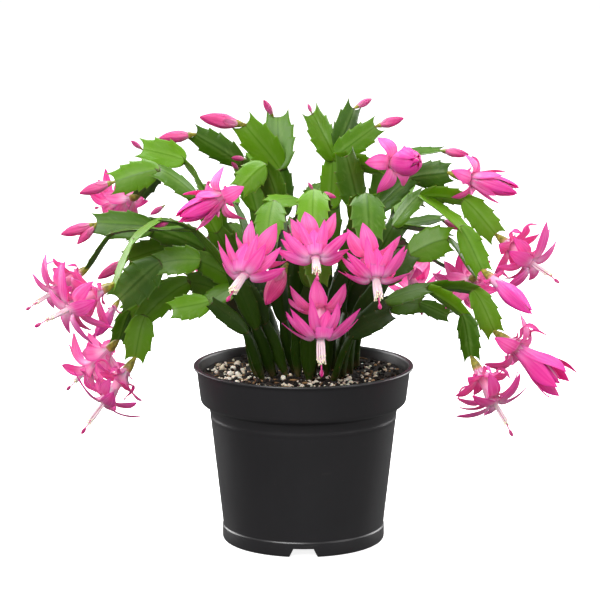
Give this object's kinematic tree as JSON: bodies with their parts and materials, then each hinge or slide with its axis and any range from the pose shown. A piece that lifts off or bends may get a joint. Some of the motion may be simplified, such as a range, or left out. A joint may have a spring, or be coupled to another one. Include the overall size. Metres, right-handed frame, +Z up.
{
  "type": "potted christmas cactus",
  "caption": "Flowering christmas cactus with arching flat-jointed stems, pink flowers and buds, rooted in a round black nursery pot of soil.",
  "frame": {"origin": "on the pot's axis at the flat pad under its floor, on the surface it stands on", "axes": "+Z up along the pot's axis; -Y is the front, where the front flowers hang; +X is the front's right-hand side"},
  "size_m": [0.368, 0.3187, 0.309],
  "materials": {
    "pot_plastic": "satin",
    "potting_mix": "matte",
    "stem_green": "satin",
    "petal_pink": "satin",
    "bud_pink": "satin",
    "perlite": "matte",
    "bark": "matte",
    "stamen_cream": "matte",
    "style_magenta": "satin",
    "receptacle_olive": "satin"
  },
  "bodies": {
    "root": {"bud_left_low": "bud_pink", "bud_left_mid": "bud_pink", "bud_left_upper": "bud_pink", "bud_right_dark": "bud_pink", "bud_right_top": "bud_pink", "bud_top_fan_mid": "bud_pink", "bud_top_fan_right": "bud_pink", "bud_top_left": "bud_pink", "bud_top_pair_long": "bud_pink", "bud_top_pair_short": "bud_pink", "flower_back_left": "petal_pink", "flower_back_mid": "petal_pink", "flower_back_right": "petal_pink", "flower_front_a": "petal_pink", "flower_front_b": "petal_pink", "flower_front_c": "petal_pink", "flower_front_d": "petal_pink", "flower_half_left": "petal_pink", "flower_half_right_low": "petal_pink", "flower_half_right_mid": "petal_pink", "flower_half_right_upper": "petal_pink", "flower_half_top_left": "petal_pink", "flower_half_top_right": "petal_pink", "flower_left_arch": "petal_pink", "flower_left_hidden": "petal_pink", "flower_left_low": "petal_pink", "flower_left_low_back": "petal_pink", "flower_left_outer": "petal_pink", "flower_right_hidden": "petal_pink", "flower_right_low": "petal_pink", "flower_right_outer": "petal_pink", "pot": "pot_plastic", "soil": "potting_mix", "stem_back_left": "stem_green", "stem_back_mid": "stem_green", "stem_back_right": "stem_green", "stem_front_a": "stem_green", "stem_front_b": "stem_green", "stem_front_c": "stem_green", "stem_front_d": "stem_green", "stem_front_left": "stem_green", "stem_left_arch": "stem_green", "stem_left_bud": "stem_green", "stem_left_dark": "stem_green", "stem_left_high": "stem_green", "stem_left_low": "stem_green", "stem_left_mid": "stem_green", "stem_left_upper": "stem_green", "stem_left_wide": "stem_green", "stem_mid_dark": "stem_green", "stem_right_bud": "stem_green", "stem_right_dark": "stem_green", "stem_right_leaf": "stem_green", "stem_right_low": "stem_green", "stem_right_mid": "stem_green", "stem_right_top": "stem_green", "stem_right_upper": "stem_green", "stem_top_fan": "stem_green", "stem_top_left": "stem_green", "stem_top_pair": "stem_green"}
  },
  "joints": []
}
